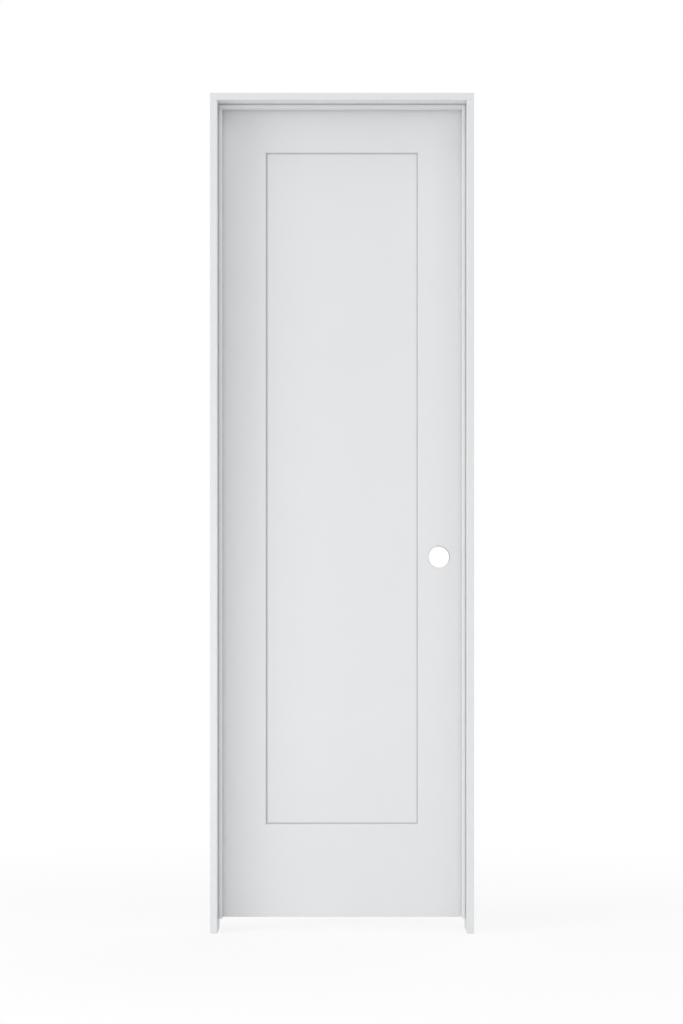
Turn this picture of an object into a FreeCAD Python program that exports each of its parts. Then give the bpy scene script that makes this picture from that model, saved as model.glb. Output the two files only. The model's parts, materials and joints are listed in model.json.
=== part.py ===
import FreeCAD, Part
import os

import Sketcher
from FreeCAD import Vector

# Prehung interior door in millimetres: a one-panel slab on three butt hinges in a jamb set with stops.
# X runs across the opening from the hinge jamb to the strike jamb, Y runs through the wall from the
# stop side to the side that the door opens to, and Z is up. The origin lies on the wall side of the
# hinge jamb, at floor level, in the middle of the jamb's depth.

# Driving dimensions
SIZES = {
    # slab
    "slab_width": 609.6,
    "slab_height": 2032.0,
    "slab_thick": 34.925,
    "stile_width": 115.1,
    "top_rail_height": 111.5,
    "bottom_rail_height": 234.5,
    "recess_depth": 6.35,
    "sticking_width": 3.0,
    "quirk_width": 1.4,
    "quirk_depth": 3.2,
    "groove_depth": 12.7,
    "tenon_gap": 0.5,
    "panel_gap": 2.0,
    "lock_bevel": 2.2,
    "slab_ease": 1.0,
    # jamb set
    "jamb_thick": 17.5,
    "jamb_depth": 115.9,
    "jamb_ease": 1.5,
    "head_rabbet": 9.5,
    "stop_thick": 9.5,
    "stop_width": 31.8,
    "stop_quirk_width": 3.0,
    "stop_quirk_depth": 4.0,
    "stop_ease": 2.0,
    # clearances round the slab
    "hinge_gap": 5.0,
    "strike_gap": 5.4,
    "head_gap": 5.0,
    "floor_gap": 30.2,
    "stop_gap": 5.0,
    # butt hinges
    "leaf_height": 88.9,
    "leaf_width": 44.45,
    "leaf_thick": 2.2,
    "leaf_corner": 6.35,
    "leaf_backset": 4.8,
    "leaf_fit": 0.2,
    "pin_radius": 3.175,
    "pin_fit": 0.05,
    "knuckle_gap": 0.4,
    "pin_head_radius": 4.9,
    "pin_head_height": 3.2,
    "pin_head_bevel": 0.8,
    "screw_hole_radius": 2.6,
    "screw_end_margin": 13.5,
    "screw_edge_margin": 9.0,
    "screw_stagger": 12.7,
    "top_hinge_margin": 177.8,
    "bottom_hinge_margin": 279.4,
    # lock and strike preparation
    "lock_height": 905.0,
    "lock_backset": 60.325,
    "lock_bore_radius": 26.9875,
    "latch_bore_radius": 12.7,
    "faceplate_width": 25.4,
    "faceplate_height": 57.15,
    "faceplate_depth": 3.2,
    "faceplate_corner": 6.35,
    "strike_width": 28.6,
    "strike_height": 57.15,
    "strike_depth": 1.6,
    "strike_corner": 6.35,
    "strike_bore_radius": 11.1,
    "strike_bore_depth": 12.7,
}
KNUCKLES = 5


class Size:
    """A length in millimetres together with the sheet expression that gives it."""

    def __init__(self, value, text):
        self.value = value
        self.text = text

    def join(self, other, sign, value):
        return Size(value, f"({self.text} {sign} {as_size(other).text})")

    def __add__(self, other):
        return self.join(other, "+", self.value + as_size(other).value)

    def __sub__(self, other):
        return self.join(other, "-", self.value - as_size(other).value)

    def __mul__(self, other):
        return self.join(other, "*", self.value * as_size(other).value)

    def __truediv__(self, other):
        return self.join(other, "/", self.value / as_size(other).value)

    def __radd__(self, other):
        return as_size(other) + self

    def __rsub__(self, other):
        return as_size(other) - self

    def __rmul__(self, other):
        return as_size(other) * self

    def __neg__(self):
        return as_size(0) - self


def as_size(value):
    """The value as a Size, whether it is one already or a plain number."""
    return value if isinstance(value, Size) else Size(float(value), str(value))


# Document and sheet of driving dimensions
doc = FreeCAD.newDocument("prehung_door")
sheet = doc.addObject("Spreadsheet::Sheet", "dims")
for row, (alias, number) in enumerate(SIZES.items(), start=1):
    sheet.set(f"A{row}", alias)
    sheet.set(f"B{row}", str(number))
    sheet.setAlias(f"B{row}", alias)
doc.recompute()


class Driving:
    """The driving dimensions as attributes, each one a Size that reads its cell."""

    def __getattr__(self, alias):
        return Size(SIZES[alias], f"dims.{alias}")


d = Driving()

# Places across the opening
hinge_face = d.jamb_thick
slab_left = hinge_face + d.hinge_gap
strike_face = slab_left + d.slab_width + d.strike_gap
frame_width = strike_face + d.jamb_thick
# Places through the wall
jamb_back = d.jamb_depth / 2
jamb_front = -jamb_back
slab_front = jamb_back - d.slab_thick
stop_front = slab_front - d.stop_gap - d.stop_width
# Places up the height
slab_top = d.floor_gap + d.slab_height
head_face = slab_top + d.head_gap
frame_top = head_face + d.jamb_thick
# Hinge pins
pin_across = hinge_face + d.hinge_gap / 2
pin_through = slab_front + d.leaf_backset + d.leaf_width
knuckle_radius = d.pin_radius + d.pin_fit + d.leaf_thick
hinge_bottoms = {
    "top": slab_top - d.top_hinge_margin - d.leaf_height,
    "middle": (slab_top - d.top_hinge_margin - d.leaf_height + d.floor_gap + d.bottom_hinge_margin) / 2,
    "bottom": d.floor_gap + d.bottom_hinge_margin,
}


def bind(target, path, size):
    """Ties a property to the sheet."""
    target.setExpression(path, as_size(size).text)


def new_body(label, across=0, through=0, up=0):
    """A body at its place in the door's frame."""
    body = doc.addObject("PartDesign::Body", label)
    body.Label = label
    for axis, size in zip("xyz", (across, through, up)):
        bind(body, f"Placement.Base.{axis}", size)
    return body


def new_sketch(body, name, role, offset=0):
    """A sketch on one of the body's own origin planes, moved along that plane's normal."""
    sketch = body.newObject("Sketcher::SketchObject", name)
    plane = next(item for item in body.Origin.OriginFeatures if item.Role == role)
    sketch.AttachmentSupport = [(plane, "")]
    sketch.MapMode = "FlatFace"
    bind(sketch, "AttachmentOffset.Base.z", offset)
    return sketch


def locate(sketch, element, point, across, up):
    """Fixes a point of the sketch by its two distances from the sketch's origin."""
    for kind, size in (("DistanceX", as_size(across)), ("DistanceY", as_size(up))):
        index = sketch.addConstraint(Sketcher.Constraint(kind, -1, 1, element, point, size.value))
        bind(sketch, f"Constraints[{index}]", size)


def add_outline(sketch, corners):
    """Draws a closed outline of straight lines, every corner fixed by its own coordinates."""
    first = sketch.GeometryCount
    count = len(corners)
    spots = [Vector(as_size(across).value, as_size(up).value, 0) for across, up in corners]
    for index in range(count):
        sketch.addGeometry(Part.LineSegment(spots[index], spots[(index + 1) % count]), False)
    for index in range(count):
        follower = first + (index + 1) % count
        sketch.addConstraint(Sketcher.Constraint("Coincident", first + index, 2, follower, 1))
    for index, (across, up) in enumerate(corners):
        locate(sketch, first + index, 1, across, up)
    return sketch


def add_rectangle(sketch, left, right, low, high):
    """Draws a rectangle between two pairs of edges."""
    return add_outline(sketch, [(left, low), (right, low), (right, high), (left, high)])


def add_circle(sketch, across, up, radius):
    """Draws a circle with its centre and radius fixed."""
    centre = Vector(as_size(across).value, as_size(up).value, 0)
    index = sketch.addGeometry(Part.Circle(centre, Vector(0, 0, 1), radius.value), False)
    locate(sketch, index, 3, across, up)
    ring = sketch.addConstraint(Sketcher.Constraint("Radius", index, radius.value))
    bind(sketch, f"Constraints[{ring}]", radius)
    return sketch


def pad(body, sketch, name, length, reverse=False):
    """Raises a sketch into a solid."""
    feature = body.newObject("PartDesign::Pad", name)
    feature.Profile = sketch
    feature.Reversed = reverse
    bind(feature, "Length", length)
    doc.recompute()
    return feature


def pocket(body, sketch, name, depth=None, reverse=False):
    """Cuts a sketch out of the body, to a depth or right through both ways, and makes sure that it bites."""
    before = body.Shape.Volume
    feature = body.newObject("PartDesign::Pocket", name)
    feature.Profile = sketch
    if depth is None:
        feature.Type = "ThroughAll"
        feature.Midplane = True
    else:
        feature.Reversed = reverse
        bind(feature, "Length", depth)
    doc.recompute()
    if body.Shape.Volume >= before:
        raise RuntimeError(f"{body.Label}: {name} cuts nothing")
    return feature


def repeat_up(body, feature, name, pitch, count):
    """Repeats a feature up the Z axis."""
    pattern = body.newObject("PartDesign::LinearPattern", name)
    pattern.Originals = [feature]
    upright = next(item for item in body.Origin.OriginFeatures if item.Role == "Z_Axis")
    pattern.Direction = (upright, [""])
    pattern.Occurrences = count
    bind(pattern, "Length", pitch * (count - 1))
    body.Tip = pattern
    doc.recompute()
    return pattern


def edges_along(feature, axis, spots):
    """Names of the straight edges that run along an axis through the given pairs of coordinates."""
    others = [index for index in range(3) if index != axis]
    names = []
    for number, edge in enumerate(feature.Shape.Edges, start=1):
        if edge.Curve.TypeId != "Part::GeomLine" or abs(abs(edge.Curve.Direction[axis]) - 1) > 1e-6:
            continue
        middle = edge.valueAt((edge.FirstParameter + edge.LastParameter) / 2)
        for spot in spots:
            if all(abs(middle[index] - as_size(size).value) < 0.01 for index, size in zip(others, spot)):
                names.append(f"Edge{number}")
    return names


def round_edges(body, feature, name, axis, spots, radius):
    """Rounds the edges that run along an axis through the given spots."""
    fillet = body.newObject("PartDesign::Fillet", name)
    fillet.Base = (feature, edges_along(feature, axis, spots))
    bind(fillet, "Radius", radius)
    doc.recompute()
    return fillet


def cut_mortise(body, name, floor_offset, depth_sign, edge, mouth, low, high, depth, corner):
    """Cuts a shallow mortise in a face square to X, open at the mouth side, its inner corners rounded."""
    face = new_sketch(body, f"{name}_outline", "YZ_Plane", floor_offset)
    add_rectangle(face, edge, mouth, low, high)
    recess = pocket(body, face, name, depth, reverse=depth_sign > 0)
    return round_edges(body, recess, f"{name}_corners", 0, [(edge, low), (edge, high)], corner)


# Jamb legs
def jamb_leg(label, across, side):
    """A leg whose wall side is at the body's origin and whose opening side lies towards side."""
    body = new_body(label, across)
    inner = side * d.jamb_thick
    section = new_sketch(body, f"{label}_section", "XY_Plane")
    add_rectangle(section, 0, inner, jamb_front, jamb_back)
    leg = pad(body, section, f"{label}_board", frame_top)
    round_edges(body, leg, f"{label}_arrises", 2, [(inner, jamb_front), (inner, jamb_back)], d.jamb_ease)
    seat = new_sketch(body, f"{label}_rabbet_outline", "XZ_Plane")
    add_rectangle(seat, side * (d.jamb_thick - d.head_rabbet), inner, head_face, frame_top)
    pocket(body, seat, f"{label}_head_rabbet")
    return body


hinge_jamb = jamb_leg("hinge_jamb", 0, 1)
for place, low in hinge_bottoms.items():
    cut_mortise(
        hinge_jamb,
        f"{place}_leaf_mortise",
        d.jamb_thick,
        -1,
        slab_front + d.leaf_backset - d.leaf_fit,
        pin_through,
        low - d.leaf_fit,
        low + d.leaf_height + d.leaf_fit,
        d.leaf_thick,
        d.leaf_corner,
    )

strike_jamb = jamb_leg("strike_jamb", frame_width, -1)
latch_through = slab_front + d.slab_thick / 2
latch_up = d.floor_gap + d.lock_height
cut_mortise(
    strike_jamb,
    "strike_mortise",
    -d.jamb_thick,
    1,
    latch_through - d.strike_width / 2,
    jamb_back + d.jamb_ease,
    latch_up - d.strike_height / 2,
    latch_up + d.strike_height / 2,
    d.strike_depth,
    d.strike_corner,
)
strike_hole = new_sketch(strike_jamb, "strike_bore_outline", "YZ_Plane", -d.jamb_thick)
add_circle(strike_hole, latch_through, latch_up, d.strike_bore_radius)
pocket(strike_jamb, strike_hole, "strike_bore", d.strike_depth + d.strike_bore_depth, reverse=True)

# Head jamb, seated in the rabbets of both legs
head_jamb = new_body("head_jamb", d.jamb_thick - d.head_rabbet, 0, head_face)
head_section = new_sketch(head_jamb, "head_section", "YZ_Plane")
add_rectangle(head_section, jamb_front, jamb_back, 0, d.jamb_thick)
head_board = pad(
    head_jamb, head_section, "head_board", strike_face - hinge_face + 2 * d.head_rabbet
)
round_edges(head_jamb, head_board, "head_arrises", 0, [(jamb_front, 0), (jamb_back, 0)], d.jamb_ease)


# Stops, mitred where they meet, the legs' two ending level with the slab's foot
def stop(label, outline, run, arris):
    """A stop with a quirk between its front and the jamb, and the arris of its free side eased.

    The outline gives the corners seen square on for a distance from the jamb. The run is the axis
    along the stop, and the arris is where its front meets its free side.
    """
    body = new_body(label, 0, stop_front)
    back_outline = new_sketch(body, f"{label}_outline", "XZ_Plane", -d.stop_quirk_depth)
    add_outline(back_outline, outline(0))
    pad(body, back_outline, f"{label}_strip", d.stop_width - d.stop_quirk_depth, reverse=True)
    front_outline = new_sketch(body, f"{label}_front_outline", "XZ_Plane")
    add_outline(front_outline, outline(d.stop_quirk_width))
    front = pad(body, front_outline, f"{label}_front", d.stop_quirk_depth, reverse=True)
    round_edges(body, front, f"{label}_arris", run, [arris], d.stop_ease)
    return body


stop_left = hinge_face + d.stop_thick
stop_right = strike_face - d.stop_thick
stop_under = head_face - d.stop_thick


def leg_stop_outline(face, free, side):
    """The corners of a leg's stop between the jamb's face and its free side."""
    return lambda inset: [
        (face + side * inset, d.floor_gap),
        (free, d.floor_gap),
        (free, stop_under),
        (face + side * inset, head_face - inset),
    ]


def head_stop_outline(inset):
    """The corners of the head's stop."""
    return [
        (hinge_face + inset, head_face - inset),
        (stop_left, stop_under),
        (stop_right, stop_under),
        (strike_face - inset, head_face - inset),
    ]


stop("hinge_stop", leg_stop_outline(hinge_face, stop_left, 1), 2, (stop_left, 0))
stop("strike_stop", leg_stop_outline(strike_face, stop_right, -1), 2, (stop_right, 0))
stop("head_stop", head_stop_outline, 0, (0, stop_under))


# Slab, in a frame of its own at its lower front hinge corner
def slab_body(label):
    """A body of the slab."""
    return new_body(label, slab_left, slab_front, d.floor_gap)


panel_back = d.slab_thick - d.recess_depth
tongue_front = d.recess_depth + d.quirk_depth
tongue_back = panel_back - d.quirk_depth


def edge_profile(side, inner, depth, outwards=0):
    """Half a plan outline where stiles and rails meet, from the front face to the back face.

    The sticking slopes from each face to the panel's, drops straight beside the panel's quirk, and
    the groove for its tongue lies between.
    """
    lip = inner - side * d.sticking_width
    floor = inner - side * (depth - outwards)
    return [
        (lip, 0),
        (inner, d.recess_depth),
        (inner, tongue_front),
        (floor, tongue_front),
        (floor, tongue_back),
        (inner, tongue_back),
        (inner, panel_back),
        (lip, d.slab_thick),
    ]


stile_inner = d.stile_width
far_inner = d.slab_width - d.stile_width

hinge_stile = slab_body("hinge_stile")
hinge_plan = new_sketch(hinge_stile, "hinge_stile_plan", "XY_Plane")
add_outline(hinge_plan, [(0, 0)] + edge_profile(1, stile_inner, d.groove_depth) + [(0, d.slab_thick)])
hinge_board = pad(hinge_stile, hinge_plan, "hinge_stile_board", d.slab_height)
round_edges(
    hinge_stile, hinge_board, "hinge_stile_arrises", 2, [(0, 0), (0, d.slab_thick)], d.slab_ease
)
for place, low in hinge_bottoms.items():
    base = low - d.floor_gap
    cut_mortise(
        hinge_stile,
        f"{place}_leaf_mortise",
        0,
        1,
        d.leaf_backset - d.leaf_fit,
        d.slab_thick + d.slab_ease,
        base - d.leaf_fit,
        base + d.leaf_height + d.leaf_fit,
        d.leaf_thick,
        d.leaf_corner,
    )

lock_stile = slab_body("lock_stile")
lock_plan = new_sketch(lock_stile, "lock_stile_plan", "XY_Plane")
lock_front = d.slab_width - d.lock_bevel
add_outline(
    lock_plan,
    [(lock_front, 0)]
    + edge_profile(-1, far_inner, d.groove_depth)
    + [(d.slab_width, d.slab_thick)],
)
lock_board = pad(lock_stile, lock_plan, "lock_stile_board", d.slab_height)
round_edges(
    lock_stile,
    lock_board,
    "lock_stile_arrises",
    2,
    [(lock_front, 0), (d.slab_width, d.slab_thick)],
    d.slab_ease,
)
cross_hole = new_sketch(lock_stile, "lock_bore_outline", "XZ_Plane")
add_circle(cross_hole, d.slab_width - d.lock_backset, d.lock_height, d.lock_bore_radius)
pocket(lock_stile, cross_hole, "lock_bore")
latch_hole = new_sketch(lock_stile, "latch_bore_outline", "YZ_Plane", d.slab_width)
add_circle(latch_hole, d.slab_thick / 2, d.lock_height, d.latch_bore_radius)
pocket(lock_stile, latch_hole, "latch_bore", d.lock_backset)
faceplate_seat = new_sketch(lock_stile, "faceplate_outline", "YZ_Plane", d.slab_width)
add_rectangle(
    faceplate_seat,
    (d.slab_thick - d.faceplate_width) / 2,
    (d.slab_thick + d.faceplate_width) / 2,
    d.lock_height - d.faceplate_height / 2,
    d.lock_height + d.faceplate_height / 2,
)
faceplate_mortise = pocket(
    lock_stile, faceplate_seat, "faceplate_mortise", d.faceplate_depth + d.lock_bevel / 2
)
round_edges(
    lock_stile,
    faceplate_mortise,
    "faceplate_corners",
    0,
    [
        (d.slab_thick / 2 + across * d.faceplate_width / 2, d.lock_height + up * d.faceplate_height / 2)
        for across in (-1, 1)
        for up in (-1, 1)
    ],
    d.faceplate_corner,
)


# Rails, coped over the stiles' sticking, with stub tenons in their grooves
def rail(label, low, height, inner, into):
    """A rail from low up to low + height, whose panel edge is at inner and whose wood lies towards into."""
    body = slab_body(label)
    plan = new_sketch(body, f"{label}_plan", "XY_Plane", low)
    left_end = edge_profile(1, stile_inner, d.groove_depth, d.tenon_gap)
    right_end = edge_profile(-1, far_inner, d.groove_depth, d.tenon_gap)
    add_outline(plan, left_end + right_end[::-1])
    pad(body, plan, f"{label}_board", height)
    edge = new_sketch(body, f"{label}_edge", "YZ_Plane")
    lip = inner + into * d.sticking_width
    add_outline(edge, [(0, lip), (d.recess_depth, inner), (0, inner)])
    add_rectangle(edge, tongue_front, tongue_back, inner + into * d.groove_depth, inner)
    add_outline(edge, [(d.slab_thick, lip), (panel_back, inner), (d.slab_thick, inner)])
    pocket(body, edge, f"{label}_sticking_and_groove")
    return body


panel_low = d.bottom_rail_height
panel_high = d.slab_height - d.top_rail_height
rail("top_rail", panel_high, d.top_rail_height, panel_high, 1)
rail("bottom_rail", 0, d.bottom_rail_height, panel_low, -1)

# Panel: a tongue let into the grooves all round, and a flat field with a quirk round it on each face
panel = slab_body("panel")
panel_reach = d.groove_depth - d.panel_gap
tongue = new_sketch(panel, "tongue_outline", "XZ_Plane", -tongue_front)
add_rectangle(
    tongue,
    stile_inner - panel_reach,
    far_inner + panel_reach,
    panel_low - panel_reach,
    panel_high + panel_reach,
)
pad(panel, tongue, "tongue", tongue_back - tongue_front, reverse=True)
field = new_sketch(panel, "field_outline", "XZ_Plane", -d.recess_depth)
add_rectangle(
    field,
    stile_inner + d.quirk_width,
    far_inner - d.quirk_width,
    panel_low + d.quirk_width,
    panel_high - d.quirk_width,
)
pad(panel, field, "field", panel_back - d.recess_depth, reverse=True)


# Butt hinges, each in a frame of its own with the pin on the Z axis
knuckle_pitch = d.leaf_height / KNUCKLES
knuckle_length = knuckle_pitch - d.knuckle_gap
window_height = knuckle_pitch + d.knuckle_gap


def hinge_leaf(label, side, low, first, count):
    """A leaf whose knuckles take every second place from first, with windows for the other leaf's."""
    body = new_body(label, pin_across, pin_through, low)
    inner = side * d.hinge_gap / 2
    plate_outline = new_sketch(body, f"{label}_outline", "YZ_Plane", inner)
    add_rectangle(plate_outline, -d.leaf_width, 0, 0, d.leaf_height)
    plate = pad(body, plate_outline, f"{label}_plate", d.leaf_thick, reverse=side < 0)
    round_edges(
        body,
        plate,
        f"{label}_corners",
        0,
        [(-d.leaf_width, 0), (-d.leaf_width, d.leaf_height)],
        d.leaf_corner,
    )
    windows = KNUCKLES - count
    other = 1 - first
    window_outline = new_sketch(body, f"{label}_window_outline", "YZ_Plane", inner)
    base = other * knuckle_pitch - d.knuckle_gap / 2
    add_rectangle(
        window_outline, -(knuckle_radius + d.knuckle_gap), knuckle_radius, base, base + window_height
    )
    window = pocket(body, window_outline, f"{label}_window", d.leaf_thick, reverse=side > 0)
    repeat_up(body, window, f"{label}_windows", 2 * knuckle_pitch, windows)
    ring = new_sketch(
        body, f"{label}_knuckle_outline", "XY_Plane", first * knuckle_pitch + d.knuckle_gap / 2
    )
    add_circle(ring, 0, 0, knuckle_radius)
    knuckle = pad(body, ring, f"{label}_knuckle", knuckle_length)
    repeat_up(body, knuckle, f"{label}_knuckles", 2 * knuckle_pitch, count)
    pin_hole = new_sketch(body, f"{label}_pin_hole_outline", "XY_Plane")
    add_circle(pin_hole, 0, 0, d.pin_radius + d.pin_fit)
    pocket(body, pin_hole, f"{label}_pin_hole")
    drill_screw_holes(body, label, side, inner)
    return body


def drill_screw_holes(body, label, side, inner):
    """Three screw holes, the middle one set back towards the knuckles."""
    centres = new_sketch(body, f"{label}_screw_centres", "YZ_Plane", inner)
    outer_row = d.screw_edge_margin - d.leaf_width
    for across, up in (
        (outer_row, d.screw_end_margin),
        (outer_row + d.screw_stagger, d.leaf_height / 2),
        (outer_row, d.leaf_height - d.screw_end_margin),
    ):
        add_circle(centres, across, up, d.screw_hole_radius)
    pocket(body, centres, f"{label}_screw_holes", d.leaf_thick, reverse=side > 0)


def hinge_pin(label, low):
    """A pin with a bevelled button at each end, both resting on the outer knuckles."""
    body = new_body(label, pin_across, pin_through, low)
    bottom_seat = d.knuckle_gap / 2
    top_seat = d.leaf_height - d.knuckle_gap / 2
    half = new_sketch(body, f"{label}_half_section", "XZ_Plane")
    top = top_seat + d.pin_head_height
    base = bottom_seat - d.pin_head_height
    add_outline(
        half,
        [
            (0, base),
            (d.pin_head_radius, base),
            (d.pin_head_radius, bottom_seat),
            (d.pin_radius, bottom_seat),
            (d.pin_radius, top_seat),
            (d.pin_head_radius, top_seat),
            (d.pin_head_radius, top),
            (0, top),
        ],
    )
    turned = body.newObject("PartDesign::Revolution", f"{label}_turned")
    turned.Profile = half
    turned.ReferenceAxis = (half, ["V_Axis"])
    turned.Angle = 360
    doc.recompute()
    rims = []
    for number, edge in enumerate(turned.Shape.Edges, start=1):
        if edge.Curve.TypeId == "Part::GeomCircle":
            height = edge.Curve.Center.z
            if min(abs(height - base.value), abs(height - top.value)) < 1e-6:
                rims.append(f"Edge{number}")
    buttons = body.newObject("PartDesign::Chamfer", f"{label}_buttons")
    buttons.Base = (turned, rims)
    bind(buttons, "Size", d.pin_head_bevel)
    doc.recompute()
    return body


for place, low in hinge_bottoms.items():
    hinge_leaf(f"{place}_hinge_frame_leaf", -1, low, 0, (KNUCKLES + 1) // 2)
    hinge_leaf(f"{place}_hinge_door_leaf", 1, low, 1, KNUCKLES // 2)
    hinge_pin(f"{place}_hinge_pin", low)

# Soundness of every object, then one file for each piece
doc.recompute()
for item in doc.Objects:
    if {"Invalid", "Error"} & set(item.State):
        raise RuntimeError(f"{item.Label} failed: {item.State}")
pieces = [item for item in doc.Objects if item.TypeId == "PartDesign::Body"]
for piece in pieces:
    if piece.Shape.isNull() or not piece.Shape.isValid() or len(piece.Shape.Solids) != 1:
        raise RuntimeError(f"{piece.Label} is not one valid solid")
os.makedirs("parts", exist_ok=True)
for piece in pieces:
    piece.Shape.exportStep(os.path.join("parts", f"{piece.Label}.step"))
    box = piece.Shape.BoundBox
    print(
        f"{piece.Label}: {piece.Shape.Volume / 1000:.1f} cm3, "
        f"x {box.XMin:.2f}..{box.XMax:.2f}, y {box.YMin:.2f}..{box.YMax:.2f}, "
        f"z {box.ZMin:.2f}..{box.ZMax:.2f}"
    )
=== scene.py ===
"""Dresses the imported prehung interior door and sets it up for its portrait.

The door stands in its own frame, in metres: X runs across the opening from the hinge leg to the
strike leg, Y through the wall towards the side the slab opens to, and Z up from the floor.
"""

import json
import logging
import math
from dataclasses import dataclass, field
from enum import Enum
from typing import Any, Optional, Sequence, Union

import bmesh
import bpy
import numpy as np
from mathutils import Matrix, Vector


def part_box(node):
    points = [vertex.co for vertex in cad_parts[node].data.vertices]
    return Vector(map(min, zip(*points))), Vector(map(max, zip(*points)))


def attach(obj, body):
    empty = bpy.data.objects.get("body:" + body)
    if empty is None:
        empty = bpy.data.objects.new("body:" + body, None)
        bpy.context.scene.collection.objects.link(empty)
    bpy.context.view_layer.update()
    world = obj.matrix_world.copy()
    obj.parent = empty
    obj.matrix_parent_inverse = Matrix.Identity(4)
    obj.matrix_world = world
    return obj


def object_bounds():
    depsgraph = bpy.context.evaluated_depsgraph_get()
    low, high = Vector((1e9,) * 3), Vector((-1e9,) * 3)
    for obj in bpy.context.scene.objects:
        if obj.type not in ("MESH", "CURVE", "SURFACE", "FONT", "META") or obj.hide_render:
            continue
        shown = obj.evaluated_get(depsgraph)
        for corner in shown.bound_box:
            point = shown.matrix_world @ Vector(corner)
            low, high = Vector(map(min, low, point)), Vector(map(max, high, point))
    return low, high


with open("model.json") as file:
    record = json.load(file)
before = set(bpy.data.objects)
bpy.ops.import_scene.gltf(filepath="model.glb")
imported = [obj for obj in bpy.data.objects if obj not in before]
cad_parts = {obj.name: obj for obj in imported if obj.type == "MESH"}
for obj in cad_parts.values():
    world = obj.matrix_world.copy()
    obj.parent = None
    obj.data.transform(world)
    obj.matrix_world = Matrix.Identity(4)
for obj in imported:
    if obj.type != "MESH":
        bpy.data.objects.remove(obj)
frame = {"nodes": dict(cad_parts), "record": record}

CAD_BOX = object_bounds()
WELD_DISTANCE = 1e-7
METRES_TO_THE_MM = 0.001

Socket = bpy.types.NodeSocket
Value = Union[float, Socket]
Triple = tuple[float, float, float]

log = logging.getLogger("door")


class Run(Enum):
    """The way a board's length, and so its grain, runs."""

    UPRIGHT = "upright"
    LEVEL = "level"

    def drawn_out(self, share: float) -> Triple:
        """Returns the factors that draw a pattern out along the board."""
        return (1.0, 1.0, share) if self is Run.UPRIGHT else (share, 1.0, 1.0)


class Side(Enum):
    """The leaf of a hinge that a set of screws holds."""

    FRAME = "frame"
    DOOR = "door"


@dataclass(frozen=True)
class Board:
    """A board of the CAD model.

    Attributes:
        node: Its name there.
        run: The way its length runs.
    """

    node: str
    run: Run


@dataclass(frozen=True)
class Pattern:
    """How a cloudy pattern is made.

    Attributes:
        scale: Clouds to the metre.
        layers: Number of finer layers.
        weight: Weight of the finer layers.
    """

    scale: float
    layers: float = 2.0
    weight: float = 0.5


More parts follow.
